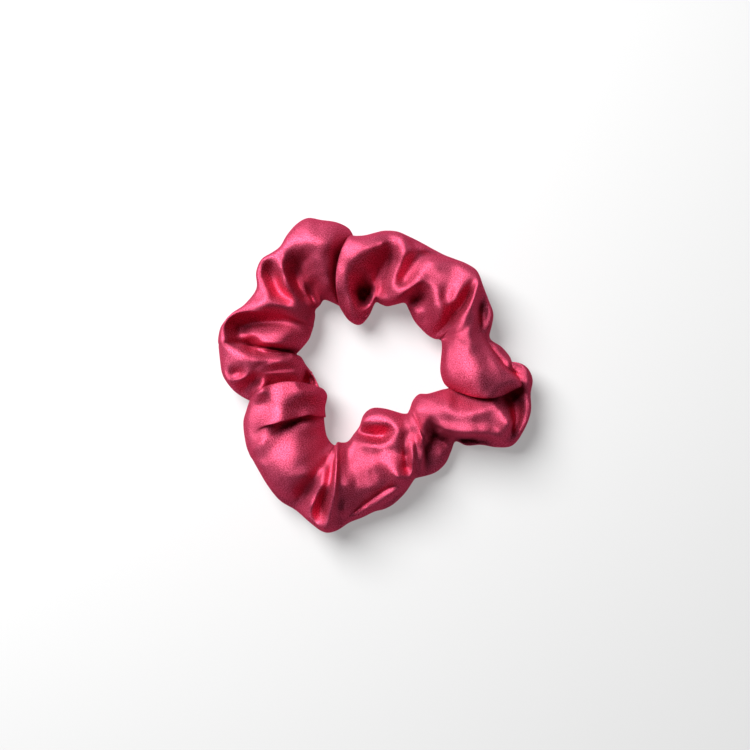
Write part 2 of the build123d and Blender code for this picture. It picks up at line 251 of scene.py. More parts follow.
# Heights met along ridges, valleys and slopes, in order round the ring: points (x, y, height).
LINES = [
    # upper left lobe: dome, hollow, and the dull slope right of the hollow
    ((-28, 44.5, 21), (-24, 44.5, 24), (-20, 44.5, 25), (-15.5, 44, 24.5), (-12.5, 45.5, 21)),
    ((-26, 48.5, 19.5), (-22, 48.5, 22), (-17, 48.5, 21)),
    ((-22.5, 40, 23.4), (-18, 40, 24.4), (-14.5, 39.5, 22.4)),
    ((-26.6, 37.4, 16), (-27, 34, 13), (-26.2, 30.8, 12), (-23.8, 27.6, 11.8), (-20.6, 24.6, 10.6)),
    ((-22.6, 35.5, 19.6), (-19, 35, 21.8), (-15, 34.5, 20.8)),
    ((-22, 31.6, 16.8), (-18.2, 31, 18.8), (-14.5, 30.2, 18.2)),
    ((-19.4, 27.8, 14), (-15.8, 27.2, 15.2)),
    # its second ridge, the pocket left of that, and the ridge that loops round the pocket and curls left
    (
        (-32.8, 40.3, 19.8), (-31.5, 37.5, 21), (-30.6, 34, 21.3), (-29.8, 31, 21),
        (-28.2, 28.2, 19.8), (-25.6, 25.4, 17.2), (-22.8, 22.8, 14.2),
    ),
    ((-29, 41, 21.3), (-26, 40, 20.4)),
    ((-35.8, 36, 15.6), (-34.8, 33.2, 13.8), (-33.2, 30.4, 13), (-31.4, 27.8, 13.2), (-29, 25.2, 14.2)),
    (
        (-34, 39.2, 19.4), (-36.4, 38.7, 19), (-38, 36.6, 18.2), (-38.3, 33, 18),
        (-37.3, 30, 18.8), (-35.8, 27.4, 20), (-34.6, 25, 20.6), (-35, 23, 20.8),
        (-37.4, 21.8, 20.8), (-41, 21.1, 20.6), (-45, 19.8, 20.2), (-48.3, 17.4, 19.6),
        (-50.2, 14.2, 19.2), (-49.4, 11.2, 19.8), (-46.6, 8.3, 20.8), (-43.2, 6.5, 21.2),
        (-39.6, 5.3, 21), (-36, 4.4, 20.2),
    ),
    ((-41, 25.5, 17.5), (-38.5, 25.5, 18.3), (-37, 27.5, 18.6)),
    ((-31.5, 24.5, 18.6), (-27.5, 22.6, 17), (-23.8, 20.6, 14.5)),
    ((-31.5, 21.5, 18), (-27, 20, 15.8), (-22.5, 18, 13)),
    # the valley under it, the lit dome, and the deep crescent beside the flap's edge
    (
        (-48, 16.6, 15.6), (-44.5, 17.6, 13.2), (-40, 18.2, 12.4), (-35, 18.2, 12.4),
        (-30, 17.8, 12.8), (-26, 17.2, 12.6),
    ),
    ((-41, 15.3, 15.6), (-36.5, 15, 17), (-32, 14.8, 17.4), (-27.5, 14.2, 15.6)),
    ((-41.5, 12.8, 16), (-38, 12.2, 18.6), (-34, 11.6, 19.8), (-30, 11.6, 18.2), (-26, 11.2, 14)),
    ((-38.2, 10.2, 18.6), (-35, 9.7, 19.8), (-31.5, 9.4, 18.8), (-28.5, 8.9, 14.6)),
    (
        (-47.6, 14.8, 16), (-46, 13, 14.6), (-44, 11.1, 13.6), (-41.6, 9.6, 13.6),
        (-38.6, 8.4, 14.6), (-35, 7.6, 14.6), (-31, 7.1, 14), (-28, 6.8, 12.8),
    ),
    ((-45.6, 10, 18.2), (-42.4, 8.1, 18.8), (-38.6, 6.9, 18.6), (-34, 6.2, 17)),
    # the flap below, its facet beside the closing seam, and the seam's raised edge
    ((-50.6, 7.6, 17.8), (-48.4, 6, 19.4), (-45.6, 4.8, 20.4)),
    ((-50, 2.5, 17.4), (-46.5, 2.8, 19), (-43, 2.9, 20.2)),
    ((-48.6, 0.9, 17), (-46.2, 0.2, 16), (-43.6, 0.6, 17.6)),
    ((-41.2, 1.8, 20.4), (-37, 4.2, 20.6), (-32, 5.4, 18.8), (-27.6, 6, 15)),
    ((-36.6, 2.4, 19.4), (-32, 2.8, 17.8), (-28, 2.6, 15.6), (-24.6, 2, 12.6)),
    ((-29, -0.4, 15.6), (-25.6, -1, 13.6), (-22.4, -2.4, 11.5)),
    (
        (-49.3, -2.2, 16.4), (-47.4, -2.8, 17), (-44.8, -1.8, 18.2), (-42, -0.3, 19.2),
        (-39.3, 0.8, 19.6), (-36, 0.8, 19), (-33.4, 0.1, 18),
    ),
    ((-45.2, -4.4, 11.5), (-42.3, -3.3, 12), (-39.3, -1.9, 12.6)),
    # lower left lobe
    ((-39.8, -4.6, 17.6), (-36, -3, 20), (-30, -2.2, 21.6), (-24.5, -3.3, 20), (-20, -5.1, 17)),
    (
        (-41.2, -9.4, 18.4), (-38, -8.8, 20.8), (-34.6, -8.3, 22.8), (-31, -8, 24.2),
        (-27.8, -8, 23.4), (-24, -8.5, 20.6), (-20.6, -9, 17.2), (-17.8, -9.4, 14),
    ),
    (
        (-42.2, -14.4, 18.2), (-38.8, -14, 20.8), (-35.2, -13.4, 23.2), (-31.6, -12.8, 24.6),
        (-28, -12.3, 22.8), (-24, -12, 19.6), (-20.6, -11.9, 16.6), (-18, -12.2, 14),
    ),
    ((-42.4, -19.4, 17.4), (-39.4, -19, 20), (-36, -18.4, 22), (-33.6, -17.4, 22.8)),
    # bottom left lobe
    ((-39.4, -26.6, 18.6), (-37, -23.6, 21.6), (-34, -20.6, 21.8), (-30.5, -18.4, 20)),
    ((-26, -17, 19.4), (-21.5, -16.4, 17), (-18.6, -17, 14.2)),
    (
        (-38, -28.4, 19.4), (-34.6, -26.8, 21.4), (-31, -25, 22.8), (-27.6, -23.2, 22.6),
        (-23.6, -21.6, 20), (-19.6, -20.8, 15.8),
    ),
    (
        (-36.4, -32.2, 18.6), (-32.6, -31, 21.6), (-28.6, -29.4, 23.8), (-25, -28, 24),
        (-21.4, -26.6, 21.8), (-18, -25.4, 17.8),
    ),
    (
        (-33.4, -37, 16.6), (-30, -35.8, 20), (-26.4, -34.2, 22.4), (-22.8, -32, 22.8),
        (-19.6, -30.2, 21), (-17, -28.6, 18.4),
    ),
    ((-30.4, -41, 13), (-27.6, -39.4, 16.8)),
    ((-20.6, -34.6, 18.8), (-22.4, -37.2, 14.8), (-24, -40.2, 12), (-25.6, -43.2, 10.4)),
    # ridge that loops at the bottom and runs up as the sharp ridge, round a small hollow
    (
        (-16.4, -31.4, 21.2), (-18, -35.5, 21.6), (-19.8, -39.5, 21.2), (-21.2, -43.5, 20.2),
        (-21.4, -47, 18.2), (-19.8, -49.4, 17.6), (-17.8, -49.6, 18.4), (-16.5, -47.6, 19.8),
        (-15.6, -44, 21.8), (-14.9, -40, 22.8), (-14, -34, 23.2), (-13.2, -28.5, 22),
        (-12.8, -24.8, 18.6),
    ),
    ((-16.7, -38.8, 18.8), (-17.4, -42, 14.8), (-18, -45, 14), (-18.2, -47, 15.4)),
    ((-14.4, -25.6, 16.2), (-15, -29, 18.4), (-15.5, -33, 20.2)),
    # flat slope right of it
    ((-11.2, -26, 19), (-11, -33, 21.8), (-12.2, -40, 21.2), (-14, -48, 17)),
    ((-7.8, -25.4, 18.2), (-6.8, -32, 18.8), (-7.6, -38.4, 18.8), (-10.2, -45, 16.8)),
    ((-2.2, -33.5, 18.6), (-1.6, -38.2, 18.2)),
    ((-9.6, -47.6, 12.6), (-7, -45.6, 13.4), (-2.6, -42, 14.8), (2, -38.6, 16), (6.4, -36.6, 16.6)),
    ((-9, -48.7, 11.2), (-5.6, -46.4, 13.2), (-0.6, -42.7, 15.2), (4.4, -39.2, 16.2), (8.6, -36.9, 16.6)),
    ((-3.6, -47, 9.5), (1.6, -43.6, 12), (6.8, -40, 13.2)),
    # dome, eye-shaped hollow under it, its rim, and the bright ridge that runs from the rim
    ((-2, -12.6, 16.4), (1.5, -12.4, 17.4), (5.6, -13.2, 18.2), (8.8, -15, 17.8)),
    ((-3.6, -14.8, 16.6), (0, -14.8, 17.8), (4, -14.8, 18.9), (7.6, -16, 19.4)),
    ((-4.8, -16.6, 15.2), (-2, -16.8, 16.7), (0.6, -16.8, 17.7), (3.4, -16.4, 18.9)),
    (
        (-6.2, -18.2, 13.8), (-4.4, -19.2, 14.2), (-2, -20.1, 14),
        (0.6, -20.6, 13.9), (3, -20, 14.6), (4.4, -18.6, 16.4),
    ),
    (
        (-6.8, -20.2, 15), (-4.6, -21.4, 16.6), (-2.2, -22.2, 17.4), (0.6, -22.7, 18),
        (3.2, -22.4, 18.8), (5.2, -21, 19.6), (6.4, -19, 20.2), (6.4, -16.8, 20.2),
    ),
    (
        (-1.8, -23.6, 17.5), (0.8, -25, 18.3), (3.3, -26.9, 19.4),
        (5.6, -29.1, 20.5), (7.6, -31.3, 21.5), (8.9, -33.4, 21.8),
    ),
    ((3.8, -24.5, 18.9), (6, -26.5, 19.3), (8, -28.8, 19.8)),
    ((-5, -25, 17.4), (-2.1, -27.6, 17.9), (0.7, -30.4, 18.3), (3.6, -33.4, 18.8), (6, -35.4, 19.2)),
    ((8.6, -20.5, 19), (8.9, -25, 18.4)),
    ((9.8, -19, 18.8), (10.3, -24, 18), (10.4, -28, 17), (10.4, -31.6, 15.8)),
    ((-7.6, -22.6, 16.4),),
    # narrow pleats
    ((11.2, -16, 18.2), (11.4, -22, 18)),
    ((13, -22, 19.2), (12.6, -27, 19.4), (11.9, -31, 18.4), (10.7, -34.8, 17.6)),
    ((14.6, -16, 19.2), (14.8, -22, 18.2), (14.4, -27, 16.6), (13.6, -32, 14.4)),
    ((17.3, -17, 19.4), (16.8, -21, 18.6), (16, -26, 16.8), (15.2, -31, 13.6)),
    ((19.8, -19.8, 9.6), (19, -23, 9.6), (18.4, -27.5, 9.8)),
    ((22.6, -22, 10), (22.4, -26, 10.4)),
    # band on the right
    ((13.8, -9.6, 17.2), (15, -12.4, 20.2), (17, -15.4, 21)),
    ((17.6, -8.6, 20), (21, -8.4, 20.6), (24.4, -7, 18.6), (28, -8, 17.8), (32, -9.2, 19.6)),
    ((20, -12.4, 22.2), (25, -12.4, 22.6), (30, -12.6, 22.8), (35, -12.2, 22.2), (38.5, -12.4, 21.4)),
    ((20.6, -16.6, 22.4), (26, -17.6, 22.8), (31, -17.8, 22.6), (36, -17.6, 21.6), (40.5, -17.4, 20)),
    ((21.6, -18.6, 21.4), (26, -19.6, 21.6), (31, -19.9, 21.2), (36.5, -20.1, 20), (41.2, -21.6, 17.4)),
    ((29, -22.1, 9), (34, -22.4, 9), (39, -23, 9.6)),
    ((37.6, -8.6, 20.4), (41.4, -11.8, 20), (45.2, -15.8, 18.6), (44.2, -18.8, 17.4), (42, -21.4, 16.8)),
    ((42.2, -8.2, 15.4), (44.6, -11.6, 14.6)),
    ((46.2, -6.4, 7.8), (46.8, -10, 8.2), (47, -14, 9.2), (46.2, -17.8, 10.6)),
    ((50.2, -6.4, 12.6), (50.4, -11, 13), (49.8, -15, 13), (47.6, -19.4, 13.6), (44.4, -22.6, 13.4)),
    # right lobe and its long edge, with the folds outside that edge
    ((23.8, 8.6, 19), (27.2, 9, 22.2), (31, 9.2, 23.8), (34, 9.4, 21.6), (36.2, 9.8, 19.4)),
    ((23.6, 3.6, 19.4), (27.2, 3.4, 22.4), (32, 3.6, 24.8), (36, 4.8, 22.8), (39.2, 5.6, 20.2)),
    ((25, -1.4, 19.4), (28.6, -1.6, 22.4), (33, -1.4, 24.8), (38, -0.4, 24.2), (42.6, -0.2, 21.6)),
    ((29, -5.2, 20.4), (34, -5, 23.4), (39, -4.4, 23.4), (43.6, -3.4, 21.6), (47, -2.8, 19.4)),
    ((35.6, 11.6, 18.8), (38, 7.6, 19.6), (41, 3.4, 20.6), (44.2, 0.2, 20.6), (48, -2, 18.8)),
    ((38.4, 11.2, 15.4), (40.8, 7.9, 15.6), (43.2, 4.4, 16)),
    ((44.6, 3.8, 16.4), (45.4, 2.6, 16.2)),
    ((47.6, 2.6, 13.8), (50, 1.2, 14.6), (51.2, -2, 14.2)),
    # upper right: looped ridge, the crease left of it, the groove right of it
    (
        (33.6, 31.6, 22.4), (33.2, 28.6, 23.2), (31.8, 25.2, 23.2),
        (29.6, 21.4, 22.8), (27, 18, 21.8), (24.4, 15.2, 19.6),
    ),
    (
        (32, 30.2, 21), (31.4, 27.4, 20.4), (30, 24.2, 20),
        (28, 20.9, 19.2), (25.8, 17.8, 17.8), (23.4, 14.8, 14.8),
    ),
    ((31.8, 33.4, 21.8), (29.4, 31.2, 22.4), (28.4, 27.8, 21.8), (27, 23.6, 20.6)),
    ((25.4, 32, 21.4), (24.8, 27, 20.8), (24, 22, 19.2), (22.6, 17.4, 16.4)),
    ((21, 30.4, 21.4), (21.2, 26.4, 21.8), (20.8, 22, 20.8), (20.2, 18, 17.6)),
    ((17.6, 25.6, 19), (17, 21.6, 16.6), (16.6, 17.6, 13.4)),
    ((33.6, 22, 19.6), (33.2, 17.6, 20.4), (33, 13.4, 20.4)),
    ((31.2, 18.6, 22), (29.8, 14.6, 22.6), (26, 12.4, 21.4)),
    ((35.6, 26.6, 14.4), (35.3, 22, 14), (35.4, 18, 14.2), (35.4, 14.6, 15.2)),
    ((38, 24.2, 15.2), (38.4, 20, 15.8), (37.6, 15.6, 15)),
    # upper side: inner ridge with the hollow under it, plane above, and the groove behind
    (
        (2.6, 25.1, 15.6), (5, 25.2, 17.6), (8, 26.3, 19.6), (11, 27.8, 21),
        (14, 29.2, 21.6), (16.6, 29.6, 21.6), (18.8, 27.8, 21),
    ),
    ((11.6, 25.4, 12.8), (13.6, 26.4, 12.8), (15.4, 26.8, 14.2)),
    ((12.6, 22.4, 13), (14.8, 23.4, 14.4)),
    ((16, 34, 21.2), (20, 34.4, 21.8), (24, 34.6, 20.6), (28.6, 35, 20.6)),
    ((17, 37.6, 20.2), (22, 37.4, 20), (26.6, 36.4, 19.4)),
    ((14.4, 39.9, 14.6), (18, 39.9, 15), (22.4, 39.4, 15), (27, 38.1, 15.4)),
    ((9, 31, 16.4), (10.8, 34.6, 16.6), (12.4, 37.8, 17)),
    ((3.8, 28.6, 16.4), (5.6, 31.8, 18.8), (7.3, 35.6, 20.4), (8.3, 39.6, 21.4), (8, 43.6, 20.8)),
    ((1.7, 28, 10.8), (2, 32, 11.6), (2.9, 36, 13.2), (4.2, 39.6, 15.8)),
    ((10, 44.2, 20), (12.6, 41, 19.8)),
    ((12.6, 43.6, 15), (16.5, 41.8, 15.2)),
    # upper middle lobe
    ((-12.7, 30, 19), (-12.9, 34, 20.4), (-12.4, 38, 21.2), (-11.4, 42, 21)),
    ((-10.4, 31, 20), (-10.4, 36, 21.8), (-9.2, 40.6, 22.8), (-8, 44.4, 21)),
    ((-5, 41.6, 24.6), (-1, 42.4, 23.8), (3, 44, 21.8)),
    ((-7.4, 36, 22.4), (-4, 37.4, 21.8), (-0.4, 38, 19.8)),
    ((-8.2, 31.6, 19), (-5.4, 33.2, 17), (-2, 33.2, 15.8)),
    ((-3.9, 29.6, 9.5), (-3.4, 27.4, 5), (-3.2, 25.4, 6)),
    ((-0.8, 30.6, 13.6), (-0.5, 27.4, 12.6), (-0.7, 24.8, 12)),
    ((-7.2, 29, 16.4), (-6.8, 25.4, 15), (-6, 22, 14), (-6.6, 19, 13)),
    ((-10.6, 26.4, 17), (-9.6, 22.4, 14.6)),
    ((-3.8, 22.6, 12.5), (-2.8, 20.8, 10)),
]

# Sharp lips and narrow creases: (points), height, width to the left of the way they run, width to
# the right.  A height below 0 is a crease, and one narrow width makes a lip.
CREASES = [
    # hole in the upper middle lobe, and the tuck at its tip
    (((-3.7, 29.4), (-3.4, 27.4), (-3.2, 25.8)), -7, 1.7, 1.9),
    (((-4.8, 18.8), (-3.6, 20.2), (-1.8, 21.6)), -1.2, 0.5, 0.8),
    # left: crescent, facet beside the closing seam
    (((-40, 8.7), (-37, 7.9), (-33, 7.3), (-28, 6.8)), -1.5, 0.9, 0.6),
    (((-40.5, 1.5), (-38, 3.2), (-35, 4.4), (-31, 5.2)), -0.6, 0.4, 0.6),
    # lower left and bottom left lobes
    (((-33.5, -18.4), (-31.5, -16.2), (-28.5, -14.8), (-22, -13.2), (-17, -14.6)), 1.2, 3, 0.5),
    (((-41.2, -26.5), (-40, -24.2), (-38, -22.2), (-35.3, -20.6)), 1, 0.5, 2.5),
    # bottom
    (((-9, -50.2), (-5, -47.2), (0.5, -43.2), (5, -39.6), (9.5, -37)), 0.8, 0.5, 1.2),
    (((-9.6, -48.2), (-6, -45.4), (-1, -41.6), (4, -38), (9, -35.6)), -1.6, 0.9, 0.5),
    (((-6, -19.2), (-4.2, -20.2), (-2, -20.9), (0.6, -21.4), (3, -20.9), (4.8, -19.2)), -1.4, 1.5, 0.5),
    (((9.8, -25), (10.3, -28.5), (10.4, -32)), -1.2, 0.7, 0.6),
    (((17.4, -16.8), (17, -21), (16.2, -26), (15.2, -32.5)), 0.8, 0.5, 1.2),
    # band on the right: its lower lip, its end
    (
        ((17.8, -18), (20.5, -19.8), (24.5, -20.9), (31, -21.2), (37, -21.4), (41.4, -22.9)),
        -3.4, 0.6, 1.8,
    ),
    (((37.8, -8.6), (41.5, -11.8), (45.6, -15.6), (44.4, -18.6), (41.6, -22.4)), 0.8, 0.5, 1.2),
    # right lobe's long edge, and the folds outside it
    (((36, 13), (38.6, 9.2), (41.4, 5.2), (44, 2.2), (46.6, 0.3), (49.6, -1.3)), -4.5, 1.2, 0.5),
    (((46.2, 3.8), (46.6, 1.8), (49, 0.2)), 0.8, 0.6, 0.8),
    # upper right
    (((23.6, 14.6), (26, 17.8), (28.4, 21.2), (30.4, 24.8), (31.7, 28.8)), -2.6, 0.9, 0.4),
    (((14, 39.4), (18, 39.5), (22, 39), (27, 37.6), (33, 35.8)), 0.8, 0.5, 1.2),
    (((14, 40.2), (18, 40.1), (22, 39.6), (27, 38.2), (32, 36.2)), -1.8, 0.9, 0.4),
    (((8.6, 46.4), (10.6, 44.2), (12.8, 41.6), (13.9, 40.2)), 1, 0.5, 1.4),
    (((9.6, 46.6), (11.6, 44.4), (13.6, 42)), -1.2, 0.8, 0.4),
]

# ---------------------------------------------------------------- from folds to a surface
# shares, and lengths in millimetres
HEIGHT_SHARES = (0.1, 0.3, 0.5, 0.7, 0.9)   # where across the sleeve a fold's heights are given
HALF = 46                                   # steps over the top of a section, and again below
SPACING = 0.85                              # between sections
LOWEST = 0.6                                # the underside's height below the fullest folds
LIFT_FROM, LIFT_SHARE = 21.0, 0.45          # lower folds than this have a lifted underside
SIDE_SHARE, SIDE_LIMIT = 0.62, 12.0         # the sides' height, between the underside's and the top's
CORNER_SHARE, BELLY = 0.45, 0.6             # the underside's corners, and how much it sags between them
SAMPLE_REACH, SAMPLE_SLACK = 0.8, 0.05      # a height is met this near, or else by the nearest points
LINE_REACH, LINE_SLACK = 3.2, 0.03          # how widely and how loosely a line bends the surface
LINE_FADE, CREASE_FADE = 0.12, 0.06         # shares of the way round over which both die away
CREASE_END = 0.18                           # share of its length over which a crease dies away
CREASE_LEFT = 0.15                          # share of its height that is left at its very end
CREASE_SHARPNESS = 1.5
# the cloth, in metres
CLOTH_LENGTH, CLOTH_WIDTH = 0.34, 0.076     # along the sleeve and round it
CLOTH_THICKNESS, CLOTH_LOWEST = 0.3 * MM, 0.4 * MM
CLOTH_SCALE = 20.0                          # the solver works better on something two metres wide
CLOTH_HOLD, CLOTH_FRAMES = 0.5, 10


def smooth_step(share):
    """0 to 1 with flat ends."""
    share = np.clip(share, 0, 1)
    return share * share * (3 - 2 * share)


def step_lengths(path):
    """The distance from each point to the next."""
    return np.linalg.norm(np.diff(path, axis=0), axis=1)


def running_total(steps):
    """The total before each step and after the last, from 0."""
    return np.concatenate([[0], np.cumsum(steps)])


def points_at(wanted, travelled, path):
    """The path's points at the wanted lengths along it."""
    return np.stack([np.interp(wanted, travelled, path[:, axis]) for axis in range(3)], -1)


def smooth_curve(points, count):
    """A smooth open curve through points, as count points evenly spaced along it."""
    points = np.array(points, float)
    knots = running_total(step_lengths(points) ** 0.5)
    slopes = np.zeros_like(points)
    chords = np.diff(points, axis=0) / np.diff(knots)[:, None]
    before, after = np.diff(knots)[:-1, None], np.diff(knots)[1:, None]
    slopes[1:-1] = (chords[:-1] * after + chords[1:] * before) / (before + after)
    slopes[0], slopes[-1] = chords[0], chords[-1]
    fine = np.linspace(0, knots[-1], count * 6)
    path = hermite(points[:-1], points[1:], slopes[:-1], slopes[1:], knots, fine)
    travelled = running_total(step_lengths(path))
    return points_at(np.linspace(0, travelled[-1], count), travelled, path)


def hermite(starts, ends, start_slopes, end_slopes, knots, where):
    """A cubic curve's points at the places where, between the knots it is given at."""
    span = np.clip(np.searchsorted(knots, where, side="right") - 1, 0, len(knots) - 2)
    shape = (-1,) + (1,) * (starts.ndim - 1)
    width = (knots[span + 1] - knots[span]).reshape(shape)
    t = (where - knots[span]).reshape(shape) / width
    return (
        starts[span] * (2 * t**3 - 3 * t**2 + 1)
        + start_slopes[span] * width * (t**3 - 2 * t**2 + t)
        + ends[span] * (3 * t**2 - 2 * t**3)
        + end_slopes[span] * width * (t**3 - t**2)
    )


def section(fold):
    """A fold's closed section, from its inner point over the top to its outer one and back below."""
    inner, outer, bow, heights = fold
    inner, outer, heights = np.array(inner), np.array(outer), np.array(heights, float)
    across = outer - inner
    along = np.array([-across[1], across[0]]) / np.linalg.norm(across)
    bottom = max(LOWEST, (LIFT_FROM - heights[1:4].max()) * LIFT_SHARE)

    def place(share, z):
        return (*(inner + across * share + along * bow * 4 * share * (1 - share)), z)

    def above_bottom(share, z):
        return share * z + (1 - share) * bottom

    inner_side = min(above_bottom(SIDE_SHARE, heights[0]), SIDE_LIMIT)
    outer_side = min(above_bottom(SIDE_SHARE, heights[-1]), SIDE_LIMIT)
    top = [place(0, inner_side)]
    top += [place(share, z) for share, z in zip(HEIGHT_SHARES, heights)]
    top += [place(1, outer_side)]
    below = [
        place(1, outer_side),
        place(0.95, above_bottom(CORNER_SHARE, outer_side)),
        place(0.8, bottom + BELLY),
        place(0.5, bottom),
        place(0.2, bottom + BELLY),
        place(0.05, above_bottom(CORNER_SHARE, inner_side)),
        place(0, inner_side),
    ]
    return np.concatenate([smooth_curve(top, HALF + 1)[:-1], smooth_curve(below, HALF + 1)[:-1]])


def sleeve_surface():
    """The sleeve's points in metres, as [section, place round it, axis]."""
    folds = np.stack([section(fold) for fold in FOLDS])
    gaps = np.linalg.norm(np.roll(folds, -1, axis=0) - folds, axis=2)
    # sections are spread by the mean gap between two folds, and partly by its widest stretch
    steps = 0.6 * gaps.mean(1) + 0.4 * np.quantile(gaps, 0.85, axis=1)
    knots = running_total(steps)
    after = steps[:, None, None]
    before = np.roll(steps, 1)[:, None, None]
    following = np.roll(folds, -1, axis=0)
    preceding = np.roll(folds, 1, axis=0)
    slopes = ((folds - preceding) / before * after + (following - folds) / after * before) / (after + before)
    count = round(knots[-1] / SPACING)
    where = np.arange(count) * knots[-1] / count
    points = hermite(folds, following, slopes, np.roll(slopes, -1, axis=0), knots, where)
    return add_creases(fit_lines(points)) * MM


def fit_lines(points):
    """Bends the top of the sleeve, smoothly, to the heights in LINES.  points are in millimetres."""
    top = points[:, 1:HALF]
    samples = np.concatenate(
        [smooth_curve(line, 3 * len(line) - 2) if len(line) > 1 else np.array(line) for line in LINES]
    )
    flat = top.reshape(-1, 3)
    wanted = np.zeros(len(samples))
    for number, (x, y, z) in enumerate(samples):
        distance = np.hypot(flat[:, 0] - x, flat[:, 1] - y)
        near = distance < max(SAMPLE_REACH, distance.min() + SAMPLE_SLACK)
        wanted[number] = z - flat[near, 2].max()

    def closeness(some, others):
        """How much the height at some places moves with that at others: 1 where they meet."""
        apart = np.linalg.norm(some[:, None, :2] - others[None, :, :2], axis=2) / LINE_REACH
        return (1 + apart) * np.exp(-apart)

    between = closeness(samples, samples) + LINE_SLACK * np.eye(len(samples))
    weights = np.linalg.solve(between, wanted)
    # the sleeve's sides stay where they are
    share = np.arange(HALF) / HALF
    over = smooth_step(np.minimum(share, 1 - share) / LINE_FADE)[1:]
    for row in top:
        row[:, 2] += closeness(row, samples) @ weights * over
    return points


def beside(points, path):
    """Each point's distance to a path in plan, above 0 on its left, and its place along it, 0 to 1."""
    path = np.array(path, float)
    best = np.full(len(points), 1e9)
    signed, place = np.zeros(len(points)), np.zeros(len(points))
    lengths = step_lengths(path)
    starts = running_total(lengths)
    for start, end, length, travelled in zip(path, path[1:], lengths, starts):
        way = (end - start) / length
        offset = points - start
        along = np.clip(offset @ way, 0, length)
        distance = np.linalg.norm(offset - along[:, None] * way, axis=1)
        left = way[0] * offset[:, 1] - way[1] * offset[:, 0]
        nearer = distance < best
        best = np.where(nearer, distance, best)
        signed = np.where(nearer, np.where(left > 0, distance, -distance), signed)
        place = np.where(nearer, (travelled + along) / starts[-1], place)
    return signed, place


def add_creases(points):
    """Raises or lowers the top of the sleeve along each crease.  points are in millimetres."""
    columns = points.shape[1]
    share = np.arange(columns) / columns
    over = smooth_step(np.minimum(share, 0.5 - share) / CREASE_FADE)[None, :]
    plan = points[:, :, :2].reshape(-1, 2)
    for path, height, left_width, right_width in CREASES:
        path = smooth_curve([(*point, 0) for point in path], 4 * len(path))[:, :2]
        signed, place = beside(plan, path)
        width = np.where(signed > 0, left_width, right_width)
        ends = np.clip(np.minimum(place, 1 - place) / CREASE_END, 0, 1)
        rise = height * np.exp(-((np.abs(signed) / width) ** CREASE_SHARPNESS))
        rise *= CREASE_LEFT + (1 - CREASE_LEFT) * ends
        points[:, :, 2] += rise.reshape(points.shape[:2]) * over
    return points


def relaxed(points):
    """The sleeve after a short run of Cloth, which pulls its folds to shapes that cloth can take."""
    rows, columns = points.shape[:2]
    cloth = bpy.data.objects.new("cloth", grid_mesh("cloth", points * CLOTH_SCALE))
    bpy.context.scene.collection.objects.link(cloth)
    cloth.vertex_groups.new(name="held").add(list(range(rows * columns)), CLOTH_HOLD, "REPLACE")
    bpy.ops.mesh.primitive_plane_add(size=10)
    table = bpy.context.object
    table.modifiers.new("Collision", "COLLISION")
    table.collision.thickness_outer = 0.01
    cloth_modifier = cloth.modifiers.new("Cloth", "CLOTH")
    settings, collisions = cloth_modifier.settings, cloth_modifier.collision_settings
    settings.quality = 5
    settings.mass = 0.15
    settings.tension_stiffness = 15
    settings.compression_stiffness = 5
    settings.shear_stiffness = 3
    settings.bending_stiffness = 20
    settings.vertex_group_mass = "held"
    settings.use_pressure = True
    settings.uniform_pressure_force = 1.0
    settings.effector_weights.gravity = 0.3
    collisions.distance_min = 0.008
    collisions.use_self_collision = True
    collisions.self_distance_min = 0.003
    collisions.self_friction = 3
    cloth_modifier.point_cache.frame_end = CLOTH_FRAMES
    for number in range(1, CLOTH_FRAMES + 1):
        bpy.context.scene.frame_set(number)
    graph = bpy.context.evaluated_depsgraph_get()
    settled = np.empty(rows * columns * 3)
    cloth.evaluated_get(graph).data.vertices.foreach_get("co", settled)
    bpy.context.scene.frame_set(1)
    for helper in (cloth, table):
        mesh = helper.data
        bpy.data.objects.remove(helper)
        bpy.data.meshes.remove(mesh)
    settled = settled.reshape(points.shape) / CLOTH_SCALE
    settled[:, :, 2] = np.maximum(settled[:, :, 2], CLOTH_LOWEST)
    return settled


def grid_mesh(name, points):
    """A mesh closed both ways round, from points as [section, place round it, axis]."""
    rows, columns = points.shape[:2]
    row, column = np.meshgrid(np.arange(rows), np.arange(columns), indexing="ij")
    next_row, next_column = (row + 1) % rows, (column + 1) % columns
    corners = [
        row * columns + column,
        row * columns + next_column,
        next_row * columns + next_column,
        next_row * columns + column,
    ]
    faces = np.stack(corners, -1).reshape(-1, 4)
    mesh = bpy.data.meshes.new(name)
    mesh.from_pydata(points.reshape(-1, 3).tolist(), [], faces.tolist())
    # the cloth's own coordinates, in metres along and round the sleeve
    size = CLOTH_LENGTH / rows, CLOTH_WIDTH / columns
    uv = mesh.uv_layers.new(name="cloth")
    places = np.stack(
        [
            np.stack([row, column], -1),
            np.stack([row, column + 1], -1),
            np.stack([row + 1, column + 1], -1),
            np.stack([row + 1, column], -1),
        ],
        2,
    ).astype(float)
    uv.data.foreach_set("uv", (places * np.array(size)).ravel())
    mesh.polygons.foreach_set("use_smooth", [True] * len(mesh.polygons))
    mesh.update()
    return mesh


# ---------------------------------------------------------------- satin
THREAD_PITCH = 0.42 * MM


